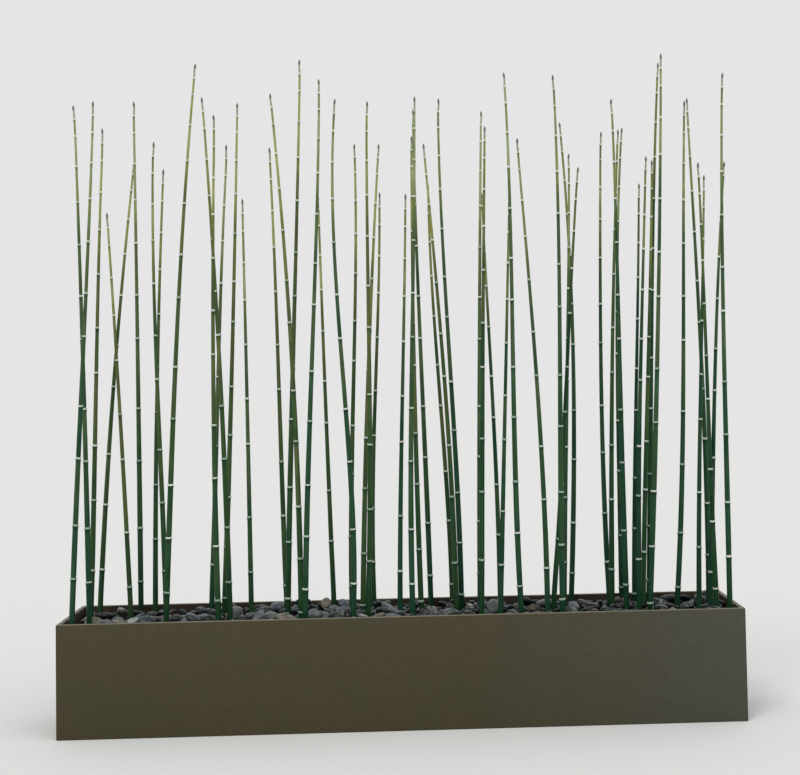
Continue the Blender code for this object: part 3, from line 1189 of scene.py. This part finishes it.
@dataclass
class StoneLayer:
    """The river stones: a few modelled shapes, dropped one by one onto the planting block."""

    effects: SurfaceEffects
    round_shapes: int = 10
    round_knock: float = 0.26
    rough_shapes: int = 6
    rough_knock: float = 0.14
    rough_sides: int = 4
    rough_cut: tuple[float, float] = (0.55, 0.75)
    # The seeds of the broken stones' knocks and cuts start here
    knock_seed: int = 40
    cut_seed: int = 100
    # The angle past which an edge stays sharp
    sharp: float = math.radians(60)
    # How many stones are thrown, how many places are tried for each, and how far below its goal the heap
    # must lie there
    count: int = 1300
    trials: int = 14
    least_need: float = 0.5 * MM
    length: tuple[float, float] = (20 * MM, 48 * MM)
    # The commonest length against the least one, and the width and thickness against the length
    common_length: float = 1.35
    width: tuple[float, float] = (0.60, 0.85)
    thickness: tuple[float, float] = (0.28, 0.48)
    block_level: float = 158 * MM
    block_edge: float = 3 * MM
    cell: float = 2 * MM
    seed: int = 23
    reed_radius: float = 5.2 * MM
    wall_gap: float = 1.2 * MM
    # A stone rests on the cells this far within its outline, at this percentile of them, with this slope
    # at most
    footing: float = 0.96
    resting_percentile: float = 88
    steepest: float = 0.6
    # The goal for the heap: its level, how much the back is higher, the height and rates of its waves, the
    # height, place and reach of the rise left of the middle, and those of the dip at the left end
    heap_level: float = 179 * MM
    back_slope: float = 2.5 * MM / 0.09
    wave_height: float = 3.5 * MM
    wave_rates: tuple[float, float, float] = (29.0, 13.0, 34.0)
    wave_start: float = 0.6
    rise: tuple[float, float, float] = (4.5 * MM, -0.14, 0.20)
    dip: tuple[float, float, float] = (4.0 * MM, -0.52, 0.05)
    # The share of the lighter stones in the middle, how fast it falls to the right as painted shade, and its
    # limits. A stone counts as light from this green on
    light_share: float = 0.55
    painted_shade_falloff: float = 3.0
    light_limits: tuple[float, float] = (0.25, 2.4)
    light_green: float = 0.03
    # Each kind's two tones, specks, roughness and share of the stones
    finishes: tuple[StoneFinish, ...] = tuple(
        StoneFinish(f"stone_{kind}", *looks)
        for kind, *looks in (
            ("slate", (0.009, 0.014, 0.015), (0.026, 0.037, 0.040), (0.05, 0.06, 0.07), 0.24, 26),
            ("charcoal", (0.005, 0.007, 0.006), (0.012, 0.015, 0.014), (0.04, 0.04, 0.04), 0.18, 26),
            ("grey", (0.042, 0.052, 0.048), (0.105, 0.124, 0.114), (0.18, 0.19, 0.18), 0.30, 26),
            ("blue", (0.056, 0.068, 0.080), (0.118, 0.138, 0.156), (0.22, 0.22, 0.25), 0.34, 9),
            ("tan", (0.074, 0.062, 0.044), (0.160, 0.142, 0.108), (0.07, 0.05, 0.03), 0.36, 8),
            ("pale", (0.190, 0.200, 0.192), (0.340, 0.350, 0.335), (0.20, 0.20, 0.20), 0.28, 5),
        )
    )
    # The block's dark brown is painted shade: the deep gaps between the stones
    block: MouldedFinish = MouldedFinish(
        "planting_block_painted_shade",
        (0.020, 0.017, 0.013),
        (0.030, 0.026, 0.020),
        (0.05, 0.045, 0.04),
        roughness=0.9,
        gloss=0.15,
        patch_scale=60.0,
        stipple_depth=1.0 * MM,
    )

    def build(self) -> list[Object]:
        """Makes the planting block and the stones on it.

        Returns:
            The block and one piece of stones for each finish.
        """
        self.dice = random.Random(self.seed)
        patterns = [self.model_stone(number) for number in range(self.round_shapes)]
        patterns += [self.model_rough_stone(number) for number in range(self.rough_shapes)]
        block = self.build_block()
        heaps = [JoinedMesh() for _ in self.finishes]
        for stone in self.drop_stones():
            shares = [finish.share * self.light_factor(finish, stone) for finish in self.finishes]
            heap = heaps[self.dice.choices(range(len(heaps)), weights=shares)[0]]
            pattern = patterns[stone.shape]
            heap.add(stone.lay(pattern), pattern.faces, [0] * len(pattern.faces))
        pieces = [block]
        for heap, finish in zip(heaps, self.finishes):
            piece = heap.finish(f"{finish.name}_stones", [finish.make(self.effects)], self.sharp)
            pieces.append(piece)
        return pieces

    def light_factor(self, finish: StoneFinish, stone: Stone) -> float:
        """Returns what a finish's share is multiplied by at a stone's place: the light stones grow rarer to
        the right as painted shade.

        Args:
            finish: the finish.
            stone: the stone.

        Returns:
            The factor, which is 1 for the dark finishes.
        """
        if finish.tone[1] <= self.light_green:
            return 1.0
        least, most = self.light_limits
        # Painted shade: towards the right end fewer stones are light, as the light there is dimmer
        return min(most, max(least, self.light_share - self.painted_shade_falloff * stone.place[0]))

    def model_stone(self, number: int) -> Pattern:
        """Models one stone from a box: rounded, knocked out of true and smoothed.

        Args:
            number: which shape it is, which also seeds its form.

        Returns:
            The pattern, inside a box from -1 to 1.
        """
        stone = new_shape(bpy.ops.mesh.primitive_cube_add, size=2.0)
        start_edit(stone)
        bpy.ops.mesh.subdivide(number_cuts=1, smoothness=0.9)
        bpy.ops.transform.vertex_random(offset=self.round_knock, uniform=0.0, normal=0.0, seed=number)
        end_edit()
        modify(stone, "SUBSURF", levels=1, render_levels=1)
        return Pattern.take(stone).boxed()

    def model_rough_stone(self, number: int) -> Pattern:
        """Models one broken stone: a ball knocked far out of true, with some flat sides cut on it.

        Args:
            number: which shape it is, which also seeds its form.

        Returns:
            The pattern, inside a box from -1 to 1.
        """
        dice = random.Random(self.cut_seed + number)
        stone = new_shape(bpy.ops.mesh.primitive_ico_sphere_add, subdivisions=2, radius=1.0)
        start_edit(stone)
        seed = self.knock_seed + number
        bpy.ops.transform.vertex_random(offset=self.rough_knock, uniform=0.0, normal=0.0, seed=seed)
        for _ in range(self.rough_sides):
            side = Vector([dice.uniform(-1.0, 1.0) for _ in range(3)]).normalized()
            place = side * dice.uniform(*self.rough_cut)
            bpy.ops.mesh.select_all(action="SELECT")
            bpy.ops.mesh.bisect(plane_co=place, plane_no=side, use_fill=True, clear_outer=True)
        end_edit()
        return Pattern.take(stone).boxed()

    def build_block(self) -> Object:
        """Models the planting block that fills the trough under the stones, dark as painted shade in the gaps
        between them.

        Returns:
            The finished block, which stands for the solid of the bed.
        """
        low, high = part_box("stone_bed")
        block = new_box("planting_block_painted_shade", low, Vector((high.x, high.y, self.block_level)))
        modify(block, "BEVEL", width=self.block_edge, segments=2)
        block.data.materials.append(self.block.make(self.effects))
        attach(block, BODY)
        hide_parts("stone_bed")
        return block

    def drop_stones(self) -> list[Stone]:
        """Drops the stones one by one where the heap is lowest, clear of the reeds and the walls.

        Returns:
            Every stone in its place.
        """
        self.low, self.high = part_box("stone_bed")
        names = sorted(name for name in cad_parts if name.startswith("reed_"))
        self.reeds = np.array([ReedLine.read(name).centres[1] for name in names])
        sides = [np.arange(self.low[axis], self.high[axis], self.cell) for axis in (0, 1)]
        self.grid_x, self.grid_y = np.meshgrid(*sides, indexing="ij")
        self.heap = np.full(self.grid_x.shape, self.block_level)
        goal = self.goal_level()
        stones = []
        for _ in range(self.count):
            best = None
            for _ in range(self.trials):
                stone = self.throw()
                if stone is None:
                    continue
                near = self.cells_under(stone)
                need = float((goal[near] - self.heap[near]).mean()) if near[0].size else -1.0
                if best is None or need > best[0]:
                    best = (need, stone, near)
            if best is not None and best[0] >= self.least_need:
                self.rest(best[1], best[2])
                stones.append(best[1])
        return stones

    def goal_level(self) -> np.ndarray:
        """Returns the goal for the heap over each cell.

        Returns:
            The levels: uneven, higher at the back and left of the middle, lower at the left end.
        """
        along, turn, across = self.wave_rates
        back = self.back_slope * self.grid_y
        waves = np.sin(self.grid_x * along + self.wave_start)
        waves = self.wave_height * waves * np.cos(self.grid_x * turn + self.grid_y * across)
        rise = self.rise[0] * np.exp(-(((self.grid_x - self.rise[1]) / self.rise[2]) ** 2))
        dip = self.dip[0] * np.clip((self.dip[1] - self.grid_x) / self.dip[2], 0.0, 1.0)
        return self.heap_level + back + waves + rise - dip

    def throw(self) -> Stone | None:
        """Picks a stone's size, turn, place and shape.

        Returns:
            The stone, or None where it would touch a reed.
        """
        shortest, longest = self.length
        long = self.dice.triangular(shortest, longest, shortest * self.common_length) / 2
        half = (long, long * self.dice.uniform(*self.width), long * self.dice.uniform(*self.thickness))
        turn = self.dice.uniform(0.0, math.pi)
        reach_x = math.hypot(half[0] * math.cos(turn), half[1] * math.sin(turn)) + self.wall_gap
        reach_y = math.hypot(half[0] * math.sin(turn), half[1] * math.cos(turn)) + self.wall_gap
        place_x = self.dice.uniform(self.low.x + reach_x, self.high.x - reach_x)
        place_y = self.dice.uniform(self.low.y + reach_y, self.high.y - reach_y)
        stone = Stone(half, turn, (place_x, place_y))
        ahead, aside = stone.turned(*(self.reeds - np.array(stone.place)).T)
        clear = (ahead / (half[0] + self.reed_radius)) ** 2 + (aside / (half[1] + self.reed_radius)) ** 2
        if clear.min() < 1.0:
            return None
        stone.shape = self.dice.randrange(self.round_shapes + self.rough_shapes)
        return stone

    def within(self, stone: Stone, cells: tuple) -> tuple[np.ndarray, np.ndarray, np.ndarray]:
        """Says how far some cells lie from a stone's middle.

        Args:
            stone: the stone.
            cells: the rows and columns of the cells.

        Returns:
            The distances along the trough and across it, and the square of the distance as a share of the
            way to the stone's outline.
        """
        shift_x = self.grid_x[cells] - stone.place[0]
        shift_y = self.grid_y[cells] - stone.place[1]
        ahead, aside = stone.turned(shift_x, shift_y)
        return shift_x, shift_y, (ahead / stone.half[0]) ** 2 + (aside / stone.half[1]) ** 2

    def cells_under(self, stone: Stone) -> tuple[np.ndarray, np.ndarray]:
        """Finds the cells of the heap that lie under a stone.

        Args:
            stone: the stone.

        Returns:
            The rows and columns of the cells.
        """
        first_x = int((stone.place[0] - stone.half[0] - self.grid_x[0, 0]) / self.cell)
        first_y = int((stone.place[1] - stone.half[0] - self.grid_y[0, 0]) / self.cell)
        steps = int(2 * stone.half[0] / self.cell) + 2
        rows = slice(max(first_x, 0), first_x + steps)
        columns = slice(max(first_y, 0), first_y + steps)
        inside = np.nonzero(self.within(stone, (rows, columns))[2] < self.footing)
        return inside[0] + rows.start, inside[1] + columns.start

    def rest(self, stone: Stone, near: tuple) -> None:
        """Lets a stone come to rest on the heap, which grows by it.

        Args:
            stone: the stone, which gets its level and slope.
            near: the cells under it.
        """
        shift_x, shift_y, share = self.within(stone, near)
        flat = np.column_stack([shift_x, shift_y, np.ones_like(shift_x)])
        fit = np.linalg.lstsq(flat, self.heap[near], rcond=None)[0]
        slope = np.clip(fit[:2], -self.steepest, self.steepest)
        bulge = stone.half[2] * np.sqrt(np.clip(1.0 - share, 0.0, 1.0))
        lean = slope[0] * shift_x + slope[1] * shift_y
        level = float(np.percentile(self.heap[near] + bulge - lean, self.resting_percentile))
        self.heap[near] = np.maximum(self.heap[near], level + lean + bulge)
        stone.level, stone.slope = level, (float(slope[0]), float(slope[1]))


def main() -> None:
    """Builds the studio, the trough, the stones and the reeds, and reports each piece."""
    logging.basicConfig(level=logging.INFO, format="%(message)s")
    log = logging.getLogger("horsetail")
    effects = SurfaceEffects()
    Studio().build()
    pieces = [Trough(effects).build()]
    pieces.extend(StoneLayer(effects).build())
    pieces.extend(Reeds(effects).build())
    for piece in pieces:
        piece.data.calc_loop_triangles()
        log.info("%s: %d triangles", piece.name, len(piece.data.loop_triangles))


if __name__ == "__main__":
    main()
